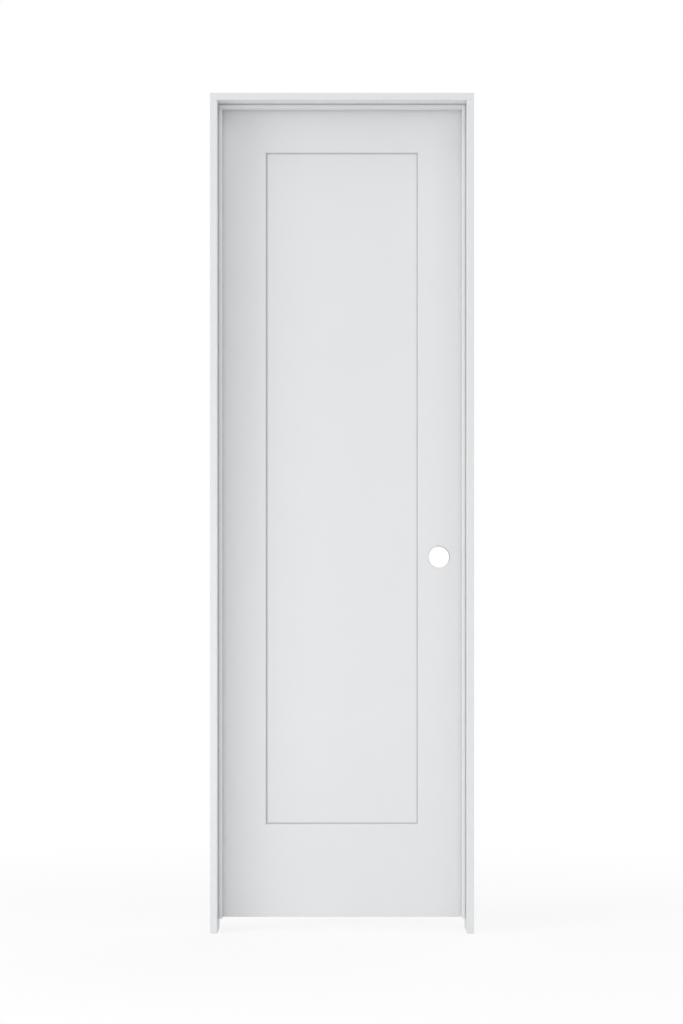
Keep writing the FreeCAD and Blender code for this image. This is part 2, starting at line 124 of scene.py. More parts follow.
class Wiring:
    """A node tree, put together one node at a time."""

    def __init__(self, tree: bpy.types.NodeTree) -> None:
        """Takes the node tree of a material or of the world, and empties it."""
        self.tree = tree
        self.tree.nodes.clear()

    def node(self, kind: str, **settings: object) -> bpy.types.Node:
        """Adds a node.

        Args:
            kind: Blender's name of the node type.
            settings: Attributes to set on the node.

        Returns:
            The new node.
        """
        made = self.tree.nodes.new(kind)
        for key, value in settings.items():
            setattr(made, key, value)
        return made

    def feed(self, socket: Socket, value: Union[Value, Sequence[float]]) -> None:
        """Links a socket to another, or sets it to a constant.

        Args:
            socket: The input that takes the value.
            value: A socket, a number, or a vector or colour.
        """
        if isinstance(value, bpy.types.NodeSocket):
            self.tree.links.new(value, socket)
        else:
            socket.default_value = value

    def place(self) -> Socket:
        """Returns the place on the piece, in metres, as an object coordinate."""
        return self.node("ShaderNodeTexCoord").outputs["Object"]

    def split(self, vector: Socket) -> list[Socket]:
        """Takes a vector apart.

        Args:
            vector: The vector.

        Returns:
            Its three parts.
        """
        made = self.node("ShaderNodeSeparateXYZ")
        self.feed(made.inputs[0], vector)
        return list(made.outputs)

    def math(self, operation: str, a: Value, b: Value = 0.0, c: Value = 0.0) -> Socket:
        """Does one sum on numbers.

        Args:
            operation: Blender's name of the operation.
            a: The first number.
            b: The second number.
            c: The third number, where the operation has one.

        Returns:
            The result.
        """
        made = self.node("ShaderNodeMath", operation=operation)
        for socket, value in zip(made.inputs, (a, b, c)):
            self.feed(socket, value)
        return made.outputs[0]

    def vector_math(self, operation: str, a: Socket, b: Sequence[float]) -> bpy.types.Node:
        """Does one sum on vectors.

        Args:
            operation: Blender's name of the operation.
            a: The first vector.
            b: The second vector.

        Returns:
            The node, whose outputs hold the result.
        """
        made = self.node("ShaderNodeVectorMath", operation=operation)
        self.feed(made.inputs[0], a)
        self.feed(made.inputs[1], b)
        return made

    def stretch(self, vector: Socket, factors: Triple) -> Socket:
        """Returns a vector with each part multiplied by its own factor."""
        return self.vector_math("MULTIPLY", vector, factors).outputs[0]

    def noise(self, vector: Socket, pattern: Pattern) -> Socket:
        """Adds a cloudy pattern.

        Args:
            vector: Where the pattern is read.
            pattern: How it is made.

        Returns:
            The pattern, about 0.5 on average.
        """
        made = self.node("ShaderNodeTexNoise")
        self.feed(made.inputs["Vector"], vector)
        self.feed(made.inputs["Scale"], pattern.scale)
        self.feed(made.inputs["Detail"], pattern.layers)
        self.feed(made.inputs["Roughness"], pattern.weight)
        return made.outputs[0]

    def ramp(
        self, value: Socket, start: float, end: float, low: float = 0.0, high: float = 1.0
    ) -> Socket:
        """Turns a number into a soft step.

        Args:
            value: The number.
            start: Where the step begins.
            end: Where the step ends.
            low: The result at the start.
            high: The result at the end.

        Returns:
            The stepped number.
        """
        made = self.node("ShaderNodeMapRange", interpolation_type="SMOOTHSTEP")
        keys = ("Value", "From Min", "From Max", "To Min", "To Max")
        for key, number in zip(keys, (value, start, end, low, high)):
            self.feed(made.inputs[key], number)
        return made.outputs[0]

    def blend(self, factor: Socket, a: Union[Socket, Triple], b: Union[Socket, Triple]) -> Socket:
        """Mixes two colours.

        Args:
            factor: Share of the second colour.
            a: The first colour.
            b: The second colour.

        Returns:
            The mixed colour.
        """
        made = self.node("ShaderNodeMix", data_type="RGBA")
        self.feed(made.inputs[0], factor)
        # The node's other sockets mix numbers and vectors: its colours are inputs 6 and 7, output 2.
        for socket, colour in ((made.inputs[6], a), (made.inputs[7], b)):
            self.feed(socket, colour if isinstance(colour, bpy.types.NodeSocket) else (*colour, 1.0))
        return made.outputs[2]

    def shade(self, colour: Union[Socket, Triple], factor: Socket) -> Socket:
        """Makes a colour darker or lighter.

        Args:
            colour: The colour.
            factor: The number that it is multiplied by.

        Returns:
            The new colour.
        """
        made = self.node("ShaderNodeVectorMath", operation="SCALE")
        self.feed(made.inputs[0], colour)
        self.feed(made.inputs["Scale"], factor)
        return made.outputs[0]

    def sway(self, pattern: Socket, swing: float) -> Socket:
        """Returns a factor that swings about 1 with a pattern whose mean is 0.5."""
        return self.math("MULTIPLY_ADD", pattern, swing, 1.0 - swing / 2)

    def bump(self, height: Socket, depth: float) -> Socket:
        """Tilts a surface's normal by a pattern of heights.

        Args:
            height: The pattern.
            depth: The height that 1 stands for in it, in metres.

        Returns:
            The tilted normal.
        """
        made = self.node("ShaderNodeBump")
        self.feed(made.inputs["Strength"], 1.0)
        self.feed(made.inputs["Distance"], depth)
        self.feed(made.inputs["Height"], height)
        return made.outputs["Normal"]


class Recipe(Wiring):
    """A material and its node tree."""

    def __init__(self, name: str) -> None:
        """Starts an empty material.

        Args:
            name: The material's name.
        """
        self.material = bpy.data.materials.new(name)
        self.material.use_nodes = True
        super().__init__(self.material.node_tree)

    def close(self, shader: Socket) -> bpy.types.Material:
        """Links the last shader to the material's output and returns the material."""
        self.feed(self.node("ShaderNodeOutputMaterial").inputs[0], shader)
        return self.material

    def surface(
        self, colour: Socket, roughness: Socket, normal: Socket, **constants: float
    ) -> bpy.types.Material:
        """Closes the tree with its shader.

        Args:
            colour: The base colour.
            roughness: The roughness.
            normal: The tilted normal.
            constants: Values for the shader's own sockets.

        Returns:
            The finished material.
        """
        shader = self.node("ShaderNodeBsdfPrincipled")
        values = {"Base Color": colour, "Roughness": roughness, "Normal": normal, **constants}
        for key, value in values.items():
            self.feed(shader.inputs[key], value)
        return self.close(shader.outputs[0])


def mount(name: str) -> dict[str, Any]:
    """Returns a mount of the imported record."""
    return next(stated for stated in frame["record"]["mounts"] if stated["name"] == name)


class Pocket:
    """A place where the board is cut after it is primed, so that its raw core shows."""

    def mask(self, recipe: Recipe, place: Socket) -> Socket:
        """Returns 1 on the raw core and 0 elsewhere."""
        raise NotImplementedError

    def rim(self, recipe: Recipe, place: Socket) -> Optional[Socket]:
        """Returns the height of the sanded rim round the cut, in metres, or None without one."""
        return None


@dataclass(frozen=True)
class RoundPocket(Pocket):
    """A bored hole.

    Attributes:
        centre: A point on the bore's axis, in metres.
        axis: 0 for X, 1 for Y.
        radius: The bore's radius, in metres.
        reach: How far the wall reaches each way along the axis, in metres.
        skin: How much farther out than the radius counts as the wall, in metres.
        ease: Width of the sanded rim round the bore, in metres, or 0 for none.
        drop: How far the sanded rim falls towards the bore, in metres.
    """

    centre: Triple
    axis: int
    radius: float
    reach: float = 0.05
    skin: float = 0.00008
    ease: float = 0.0
    drop: float = 0.0012

    def distance(self, recipe: Recipe, place: Socket) -> tuple[Socket, Socket]:
        """Measures how far a place is from the bore's axis and from its centre along the axis.

        Args:
            recipe: The tree that is made.
            place: The place on the piece.

        Returns:
            The distance from the axis and the distance along it.
        """
        middle = recipe.vector_math("SUBTRACT", place, self.centre).outputs[0]
        flat = recipe.stretch(middle, (0.0, 1.0, 1.0) if self.axis == 0 else (1.0, 0.0, 1.0))
        length = recipe.node("ShaderNodeVectorMath", operation="LENGTH")
        recipe.feed(length.inputs[0], flat)
        along = recipe.math("ABSOLUTE", recipe.split(middle)[self.axis])
        return length.outputs["Value"], along

    def mask(self, recipe: Recipe, place: Socket) -> Socket:
        """Marks the bore's wall.

        The distance from the axis has to be less than the radius, and the place along the axis
        within the reach.

        Args:
            recipe: The tree that is made.
            place: The place on the piece.

        Returns:
            1 on the wall and 0 elsewhere.
        """
        away, along = self.distance(recipe, place)
        near = recipe.math("LESS_THAN", away, self.radius + self.skin)
        return recipe.math("MULTIPLY", near, recipe.math("LESS_THAN", along, self.reach))

    def rim(self, recipe: Recipe, place: Socket) -> Optional[Socket]:
        """Works out the sanded rim's height, 0 on the face and minus the drop at the bore.

        Args:
            recipe: The tree that is made.
            place: The place on the piece.

        Returns:
            The height in metres, or None where the bore has no rim.
        """
        if not self.ease:
            return None
        away, _ = self.distance(recipe, place)
        return recipe.ramp(away, self.radius, self.radius + self.ease, -self.drop, 0.0)


def bored(name: str, ease: float = 0.0) -> RoundPocket:
    """Makes the pocket of a bore that the record states as a mount.

    Args:
        name: The mount's name.
        ease: Width of the sanded rim round the bore, in metres.

    Returns:
        The pocket.
    """
    bore = mount(name)
    axis = int(np.argmax(np.abs(bore["axis"])))
    return RoundPocket(tuple(bore["pos_m"]), axis, bore["dims"]["r_mm"] * METRES_TO_THE_MM, ease=ease)


@dataclass(frozen=True)
class SquarePocket(Pocket):
    """A mortise, or the cut end of a board.

    Attributes:
        low: The lowest corner of the box that holds the raw faces.
        high: The highest corner of that box.
    """

    low: Triple
    high: Triple

    def mask(self, recipe: Recipe, place: Socket) -> Socket:
        """Marks the inside of the box, as the product of six comparisons.

        Args:
            recipe: The tree that is made.
            place: The place on the piece.

        Returns:
            1 inside the box and 0 elsewhere.
        """
        result: Value = 1.0
        for part, low, high in zip(recipe.split(place), self.low, self.high):
            above = recipe.math("GREATER_THAN", part, low)
            below = recipe.math("LESS_THAN", part, high)
            result = recipe.math("MULTIPLY", result, recipe.math("MULTIPLY", above, below))
        return result


@dataclass(frozen=True)
class Mortise:
    """A shallow recess for a plate, cut into a board's edge round a bore.

    Attributes:
        bore: The bore's name in the record.
        half_width: Half the width of the box that holds the raw faces, in metres.
        half_height: Half the height of that box, in metres.
        shallow: Depth under the edge at which the raw faces begin, in metres.
        deep: Depth at which they end, in metres.
    """

    bore: str
    half_width: float
    half_height: float
    shallow: float
    deep: float

    def pocket(self, edge: float, inwards: float) -> SquarePocket:
        """Works out the box that holds the raw faces.

        Args:
            edge: The board's edge across the opening, in metres.
            inwards: 1 where the recess goes in towards +X, -1 where it goes towards -X.

        Returns:
            The pocket.
        """
        _, through, level = mount(self.bore)["pos_m"]
        left, right = sorted((edge + inwards * self.shallow, edge + inwards * self.deep))
        return SquarePocket(
            (left, through - self.half_width, level - self.half_height),
            (right, through + self.half_width, level + self.half_height),
        )


@dataclass(frozen=True)
class GrooveShade:
    """The narrow groove round the panel, whose colour is darkened there as painted shade.

    Attributes:
        skin: How deep under the panel's field the painted shade begins, in metres.
        full: How deep under the field the painted shade is at its darkest, in metres.
        painted_shade: The tone of the painted shade in the groove, as a share of the plain colour.
    """

    skin: float = 0.0001
    full: float = 0.0012
    # Painted shade: the colour inside the groove is multiplied by this.
    painted_shade: float = 0.62

    def tone(self, recipe: Recipe, place: Socket) -> Socket:
        """Works out the painted shade's tone, 1 on the faces and less inside the groove.

        A place is in the groove when it lies inside the panel's outline, tongue and all, and deeper
        than the field's two faces.

        Args:
            recipe: The tree that is made.
            place: The place on the piece.

        Returns:
            The tone of the painted shade.
        """
        low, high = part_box("panel")
        x, y, z = recipe.split(place)
        front = recipe.math("SUBTRACT", y, low.y)
        depth = recipe.math("MINIMUM", front, recipe.math("SUBTRACT", high.y, y))
        inside = recipe.ramp(depth, self.skin, self.full)
        for part, start, end in ((x, low.x, high.x), (z, low.z, high.z)):
            inside = recipe.math("MULTIPLY", inside, recipe.math("GREATER_THAN", part, start))
            inside = recipe.math("MULTIPLY", inside, recipe.math("LESS_THAN", part, end))
        # Painted shade: darker inside the groove, 1 on the faces.
        return recipe.math("MULTIPLY_ADD", inside, self.painted_shade - 1.0, 1.0)


@dataclass(frozen=True)
class Mark:
    """Something faint under the primer.

    Attributes:
        darker: How much darker it is, as a share of the tone.
        sunk: How deep it lies, as a share of the finish's depth.
        duller: How much it adds to the roughness.
    """

    darker: float = 0.0
    sunk: float = 0.0
    duller: float = 0.0

    def mask(self, recipe: Recipe, place: Socket, board: Board) -> Socket:
        """Returns 1 on the mark and 0 elsewhere."""
        raise NotImplementedError


@dataclass(frozen=True)
class FingerJoints(Mark):
    """The zigzag lines of a board's finger joints.

    Attributes:
        pitch: Distance between the joints, in metres.
        finger: Half a finger's width, in metres.
        slope: Rise of a finger's side to its width.
        core: Half the width of the line's core, in metres.
        edge: Half the width of the whole line, in metres.
    """

    darker: float = 0.025
    sunk: float = 0.25
    pitch: float = 0.42
    finger: float = 0.0031
    slope: float = 3.2
    core: float = 0.00012
    edge: float = 0.0004

    def mask(self, recipe: Recipe, place: Socket, board: Board) -> Socket:
        """Marks the lines.

        A triangle wave of the place across the board is added to the place along it, and the sum is
        folded at the pitch. The line is where the result is near zero.

        Args:
            recipe: The tree that is made.
            place: The place on the piece.
            board: The board with the joints.

        Returns:
            1 on a line and 0 elsewhere.
        """
        x, y, z = recipe.split(place)
        upright = board.run is Run.UPRIGHT
        along, across = (z, recipe.math("ADD", x, y)) if upright else (x, recipe.math("ADD", y, z))
        zigzag = recipe.math("MULTIPLY", recipe.math("PINGPONG", across, self.finger), self.slope)
        folded = recipe.math("PINGPONG", recipe.math("ADD", along, zigzag), self.pitch / 2)
        return recipe.ramp(folded, self.core, self.edge, 1.0, 0.0)


@dataclass(frozen=True)
class BradRow(Mark):
    """Filled brad holes along the middle of a stop, which show as faint dimples.

    Attributes:
        pitch: Distance between the brads, in metres.
        radius: Radius of the filler, in metres.
        core: The filler's level middle, as a share of the radius.
    """

    darker: float = 0.03
    sunk: float = 0.7
    duller: float = 0.08
    pitch: float = 0.305
    radius: float = 0.0013
    core: float = 0.6

    def mask(self, recipe: Recipe, place: Socket, board: Board) -> Socket:
        """Marks the filler.

        The place along the stop is folded at the pitch. The mark is where the square root of the
        sum of the squares of that place and the place across is less than the radius.

        Args:
            recipe: The tree that is made.
            place: The place on the piece.
            board: The stop.

        Returns:
            1 on the filler, 0 elsewhere, with a soft edge.
        """
        x, y, z = recipe.split(place)
        low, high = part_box(board.node)
        along = recipe.math("PINGPONG", z if board.run is Run.UPRIGHT else x, self.pitch / 2)
        across = recipe.math("SUBTRACT", y, (low.y + high.y) / 2)
        square = recipe.math("MULTIPLY_ADD", along, along, recipe.math("MULTIPLY", across, across))
        return recipe.ramp(recipe.math("SQRT", square), self.core * self.radius, self.radius, 1.0, 0.0)


@dataclass
class Coat:
    """What a finish gives its shader, while it is being made.

    Attributes:
        colour: The base colour.
        height: The relief, as a share of the finish's depth.
        rough: The roughness.
    """

    colour: Socket
    height: Socket
    rough: Socket


@dataclass(frozen=True)
class PrimerFinish:
    """Factory primer sprayed on smooth boards: off-white, satin, with a fine orange peel.

    Attributes:
        name: The finish's name, with which each material's name begins.
        colour: The primer's colour.
        worn_colour: The tone at a rubbed arris, where the coat is worn.
        core_colour: The raw board in bores, mortises and cut ends.
        clouds: Slow change of tone and gloss.
        peel: Orange peel.
        dust: Dust nibs.
        fibre: The board's fibre under the coat.
        patches: Where the arrises are rubbed.
        core_grain: Grain of the raw board.
        fibre_length: How far the fibre is drawn out, as a share of its width's scale.
        cloud_tone: How much the clouds change the tone.
        fibre_tone: How much the fibre changes the tone.
        core_tone: How much the grain changes the raw board's tone.
        fibre_height: Height of the fibre, as a share of the depth.
        peel_height: Height of the peel, as a share of the depth.
        dust_height: Height of the dust, as a share of the depth.
        depth: The depth of the surface's relief, in metres.
        roughness: The mean roughness.
        peel_gloss: How much the peel changes the roughness.
        cloud_gloss: How much the clouds change the roughness.
        core_roughness: Roughness of the raw board.
        rub: The most that an arris is rubbed, as a share of its coat.
        rub_edge: Where the rubbing is full and where it ends, in metres from the arris.
        rub_patch: Where in the patches the rubbing begins and is full.
    """

    name: str
    colour: Triple = (0.80, 0.81, 0.82)
    worn_colour: Triple = (0.66, 0.63, 0.58)
    core_colour: Triple = (0.60, 0.53, 0.43)
    clouds: Pattern = Pattern(5.0, 3.0)
    peel: Pattern = Pattern(330.0)
    dust: Pattern = Pattern(1900.0, 1.0)
    fibre: Pattern = Pattern(850.0, 3.0, 0.6)
    patches: Pattern = Pattern(55.0, 3.0, 0.65)
    core_grain: Pattern = Pattern(420.0, 4.0)
    fibre_length: float = 0.016
    cloud_tone: float = 0.024
    fibre_tone: float = 0.014
    core_tone: float = 0.5
    fibre_height: float = 0.35
    peel_height: float = 0.5
    dust_height: float = 0.08
    depth: float = 0.00009
    roughness: float = 0.48
    peel_gloss: float = 0.10
    cloud_gloss: float = 0.06
    core_roughness: float = 0.85
    rub: float = 0.55
    rub_edge: tuple[float, float] = (0.0002, 0.0011)
    rub_patch: tuple[float, float] = (0.46, 0.66)

    def arris(self, recipe: Recipe, place: Socket, node: str) -> Socket:
        """Finds the arrises of a board's box.

        Each part of the place has a distance to the nearer of its two faces. The middle one of the
        three distances is small only near an edge of the box.

        Args:
            recipe: The tree that is made.
            place: The place on the piece.
            node: The board's name in the CAD model.

        Returns:
            The distance to the nearest arris, in metres.
        """
        gaps = []
        for part, near, far in zip(recipe.split(place), *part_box(node)):
            one = recipe.math("ABSOLUTE", recipe.math("SUBTRACT", part, near))
            other = recipe.math("ABSOLUTE", recipe.math("SUBTRACT", part, far))
            gaps.append(recipe.math("MINIMUM", one, other))
        smaller = recipe.math("MINIMUM", gaps[0], gaps[1])
        larger = recipe.math("MAXIMUM", gaps[0], gaps[1])
        return recipe.math("MAXIMUM", smaller, recipe.math("MINIMUM", larger, gaps[2]))

    def coat(self, recipe: Recipe, place: Socket, board: Board) -> Coat:
        """Makes the plain coat, with clouds, orange peel, dust, fibre and rubbed arrises.

        Args:
            recipe: The tree that is made.
            place: The place on the piece.
            board: The board that is coated.

        Returns:
            The coat.
        """
        clouds = recipe.noise(place, self.clouds)
        peel = recipe.noise(place, self.peel)
        dust = recipe.noise(place, self.dust)
        drawn = recipe.stretch(place, board.run.drawn_out(self.fibre_length))
        fibre = recipe.noise(drawn, self.fibre)
        near = recipe.ramp(self.arris(recipe, place, board.node), *self.rub_edge, self.rub, 0.0)
        patches = recipe.ramp(recipe.noise(place, self.patches), *self.rub_patch)
        colour = recipe.blend(recipe.math("MULTIPLY", near, patches), self.colour, self.worn_colour)
        colour = recipe.shade(colour, recipe.sway(clouds, self.cloud_tone))
        colour = recipe.shade(colour, recipe.sway(fibre, self.fibre_tone))
        height = recipe.math("MULTIPLY", peel, self.peel_height)
        height = recipe.math("MULTIPLY_ADD", fibre, self.fibre_height, height)
        height = recipe.math("MULTIPLY_ADD", dust, self.dust_height, height)
        smoothest = self.roughness - (self.peel_gloss + self.cloud_gloss) / 2
        rough = recipe.math("MULTIPLY_ADD", peel, self.peel_gloss, smoothest)
        rough = recipe.math("MULTIPLY_ADD", clouds, self.cloud_gloss, rough)
        return Coat(colour, height, rough)

    def material(
        self,
        board: Board,
        pockets: Sequence[Pocket] = (),
        marks: Sequence[Mark] = (),
        groove_shade: Optional[GrooveShade] = None,
    ) -> bpy.types.Material:
        """Makes the finish for one board.

        Args:
            board: The board, whose box gives its arrises.
            pockets: Where the raw core shows.
            marks: What shows faintly under the primer.
            groove_shade: The painted shade in the groove that the board borders, if any.

        Returns:
            The material.
        """
        recipe = Recipe(f"{self.name}_{board.node}")
        place = recipe.place()
        coat = self.coat(recipe, place, board)
        for mark in marks:
            there = mark.mask(recipe, place, board)
            coat.colour = recipe.shade(coat.colour, recipe.math("MULTIPLY_ADD", there, -mark.darker, 1.0))
            coat.height = recipe.math("MULTIPLY_ADD", there, -mark.sunk, coat.height)
            coat.rough = recipe.math("MULTIPLY_ADD", there, mark.duller, coat.rough)
        # Painted shade: the colour is darkened inside the panel's groove.
        if groove_shade:
            coat.colour = recipe.shade(coat.colour, groove_shade.tone(recipe, place))
        for pocket in pockets:
            rim = pocket.rim(recipe, place)
            if rim is not None:
                coat.height = recipe.math("MULTIPLY_ADD", rim, 1.0 / self.depth, coat.height)
            raw = pocket.mask(recipe, place)
            drawn = recipe.stretch(place, board.run.drawn_out(self.fibre_length))
            grain = recipe.sway(recipe.noise(drawn, self.core_grain), self.core_tone)
            coat.colour = recipe.blend(raw, coat.colour, recipe.shade(self.core_colour, grain))
            rough = recipe.math("MULTIPLY", raw, self.core_roughness)
            coat.rough = recipe.math("MAXIMUM", coat.rough, rough)
        return recipe.surface(coat.colour, coat.rough, recipe.bump(coat.height, self.depth))


@dataclass(frozen=True)
class SatinNickel:
    """Satin nickel on pressed steel, brushed along the hinge's length.

    Attributes:
        name: The finish's name, with which each material's name begins.
        colour: The metal's colour.
        lines: The brush lines across their run.
        clouds: Slow change of tone.
        handling: Where fingers have dulled the metal.
        line_length: How far the lines are drawn out, as a share of their width's scale.
        line_tone: How much lighter a bright line is than a dark one.
        dark_line: Tone of a dark line.
        cloud_tone: How much the clouds change the tone.
        smoothest: The least roughness.
        line_roughness: What the lines add to the roughness.
        handled_roughness: What the handling adds to the roughness.
        depth: The depth of the brush lines, in metres.
        anisotropy: How far the highlights are drawn out.
    """

    name: str = "satin_nickel"
    colour: Triple = (0.62, 0.61, 0.59)
    lines: Pattern = Pattern(2600.0, 3.0, 0.65)
    clouds: Pattern = Pattern(60.0, 3.0)
    handling: Pattern = Pattern(240.0)
    line_length: float = 0.02
    line_tone: float = 0.16
    dark_line: float = 0.90
    cloud_tone: float = 0.08
    smoothest: float = 0.23
    line_roughness: float = 0.16
    handled_roughness: float = 0.06
    depth: float = 0.00003
    anisotropy: float = 0.45

    def material(self, piece: str) -> bpy.types.Material:
        """Makes the finish for one piece.

        Args:
            piece: The piece's name.

        Returns:
            The material.
        """
        recipe = Recipe(f"{self.name}_{piece}")
        place = recipe.place()
        drawn = recipe.stretch(place, Run.UPRIGHT.drawn_out(self.line_length))
        lines = recipe.noise(drawn, self.lines)
        clouds = recipe.noise(place, self.clouds)
        handled = recipe.noise(place, self.handling)
        tone = recipe.math("MULTIPLY_ADD", lines, self.line_tone, self.dark_line)
        tone = recipe.math("MULTIPLY", tone, recipe.sway(clouds, self.cloud_tone))
        rough = recipe.math("MULTIPLY_ADD", lines, self.line_roughness, self.smoothest)
        rough = recipe.math("MULTIPLY_ADD", handled, self.handled_roughness, rough)
        colour = recipe.shade(self.colour, tone)
        normal = recipe.bump(lines, self.depth)
        return recipe.surface(colour, rough, normal, Metallic=1.0, Anisotropic=self.anisotropy)


def weld(mesh: bpy.types.Mesh) -> None:
    """Merges points that lie on each other, which turns the cells at a pole into triangles.

    Args:
        mesh: The mesh, which is changed.
    """
    work = bmesh.new()
    work.from_mesh(mesh)
    bmesh.ops.remove_doubles(work, verts=work.verts, dist=WELD_DISTANCE)
    bmesh.ops.recalc_face_normals(work, faces=work.faces)
    work.to_mesh(mesh)
    work.free()


def sheet_mesh(name: str, points: np.ndarray, closed: bool) -> bpy.types.Mesh:
    """Joins a grid of points into a mesh.

    Each cell between two neighbouring rows and columns is one face. On a closed form the rows are
    rings from one end to the other, the last column joins the first, and the first and last rows
    are single points repeated, so that a fan closes each end.

    Args:
        name: The mesh's name.
        points: The grid, rows by columns by 3.
        closed: Whether the form is closed, or else a flat sheet.

    Returns:
        The mesh.
    """
    rows, columns = points.shape[:2]
    index = np.arange(rows * columns).reshape(rows, columns)
    after = np.roll(index, -1, axis=1)
    if not closed:
        index, after = index[:, :-1], after[:, :-1]
    faces = np.stack([index[:-1], after[:-1], after[1:], index[1:]], axis=-1).reshape(-1, 4)
    mesh = bpy.data.meshes.new(name)
    mesh.from_pydata(points.reshape(-1, 3).tolist(), [], faces.tolist())
    if closed:
        weld(mesh)
    mesh.validate()
    mesh.update()
    return mesh


def joined(name: str, meshes: Sequence[bpy.types.Mesh]) -> bpy.types.Mesh:
    """Puts several meshes into one.

    Args:
        name: The new mesh's name.
        meshes: The meshes, which are removed.

    Returns:
        The joined mesh.
    """
    work = bmesh.new()
    for mesh in meshes:
        work.from_mesh(mesh)
        bpy.data.meshes.remove(mesh)
    result = bpy.data.meshes.new(name)
    work.to_mesh(result)
    work.free()
    return result


def smooth(mesh: bpy.types.Mesh, angle: float) -> None:
    """Shades a mesh smooth, except over edges sharper than an angle in degrees."""
    mesh.polygons.foreach_set("use_smooth", np.ones(len(mesh.polygons), bool))
    mesh.set_sharp_from_angle(angle=math.radians(angle))


def piece(name: str, mesh: bpy.types.Mesh, material: bpy.types.Material) -> bpy.types.Object:
    """Puts a mesh into the scene with its material.

    Args:
        name: The object's name.
        mesh: Its mesh, already in place.
        material: Its material.

    Returns:
        The new object, at the origin.
    """
    made = bpy.data.objects.new(name, mesh)
    bpy.context.scene.collection.objects.link(made)
    mesh.materials.clear()
    mesh.materials.append(material)
    log.info("%s: made, %d faces", name, len(mesh.polygons))
    return made


def dress(node: str, material: bpy.types.Material) -> None:
    """Gives a CAD node's object its material.

    Args:
        node: The node's name.
        material: The material.
    """
    target = frame["nodes"][node]
    if not target.material_slots:
        raise ValueError(f"{node} has no material slot")
    for place in target.material_slots:
        place.material = material
    log.info("%s: dressed", node)


@dataclass
class Jambs:
    """The frame that stands in the wall: two legs, a head and their stops.

    Attributes:
        finish: The frame's primer.
        joints: The finger joints of its boards.
        brads: The brads that hold the stops.
        strike: The recess for the strike, in the strike leg.
        cut: Depth of the layer at a leg's end that counts as its cut end, in metres.
        beyond: How far that layer's box reaches past the leg's sides, in metres.
    """

    finish: PrimerFinish = PrimerFinish("frame_primer")
    joints: FingerJoints = FingerJoints()
    brads: BradRow = BradRow()
    strike: Mortise = Mortise(
        "strike_bore", half_width=0.016, half_height=0.0306, shallow=0.0002, deep=0.0145
    )
    cut: float = 0.0002
    beyond: float = 1.0

    def ends(self, leg: Board) -> list[Pocket]:
        """Works out the cut ends of a leg, a narrow layer at its foot and one at its top.

        Args:
            leg: The leg.

        Returns:
            The two ends.
        """
        low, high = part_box(leg.node)
        margin = Vector((self.beyond, self.beyond, self.beyond))
        under, over = low - margin, high + margin
        foot = SquarePocket(tuple(under), (over.x, over.y, low.z + self.cut))
        top = SquarePocket((under.x, under.y, high.z - self.cut), tuple(over))
        return [foot, top]

    def coat(self, board: Board, pockets: Sequence[Pocket], marks: Sequence[Mark]) -> None:
        """Dresses one board in the frame's primer, with its pockets and marks."""
        dress(board.node, self.finish.material(board, pockets, marks))

    def build(self) -> None:
        """Dresses the frame's boards."""
        hinge_leg, strike_leg = Board("hinge_jamb", Run.UPRIGHT), Board("strike_jamb", Run.UPRIGHT)
        strike = self.strike.pocket(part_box(strike_leg.node)[0].x, 1.0)
        self.coat(hinge_leg, self.ends(hinge_leg), [self.joints])
        self.coat(strike_leg, [*self.ends(strike_leg), strike], [self.joints])
        self.coat(Board("head_jamb", Run.LEVEL), [], [self.joints])
        for node, run in (("hinge", Run.UPRIGHT), ("strike", Run.UPRIGHT), ("head", Run.LEVEL)):
            self.coat(Board(f"{node}_stop", run), [], [self.joints, self.brads])


@dataclass
class Slab:
    """The leaf that swings: stiles and rails round a flat panel.

    Attributes:
        finish: The slab's primer.
        groove_shade: The painted shade in the groove round the panel.
        faceplate: The recess for the latch's faceplate, in the lock stile.
        ease: Width of the lock bore's sanded rim, in metres.
    """

    finish: PrimerFinish = PrimerFinish("slab_primer")
    groove_shade: GrooveShade = GrooveShade()
    faceplate: Mortise = Mortise(
        "latch_bore", half_width=0.0135, half_height=0.0296, shallow=0.0008, deep=0.004
    )
    ease: float = 0.002

    def build(self) -> None:
        """Dresses the slab's boards."""
        lock_stile = Board("lock_stile", Run.UPRIGHT)
        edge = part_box(lock_stile.node)[1].x
        cuts = [bored("lock_bore", self.ease), bored("latch_bore"), self.faceplate.pocket(edge, -1.0)]
        dress(lock_stile.node, self.finish.material(lock_stile, cuts, groove_shade=self.groove_shade))
        for node in ("hinge_stile", "panel"):
            dress(node, self.finish.material(Board(node, Run.UPRIGHT), groove_shade=self.groove_shade))
        for node in ("top_rail", "bottom_rail"):
            dress(node, self.finish.material(Board(node, Run.LEVEL), groove_shade=self.groove_shade))


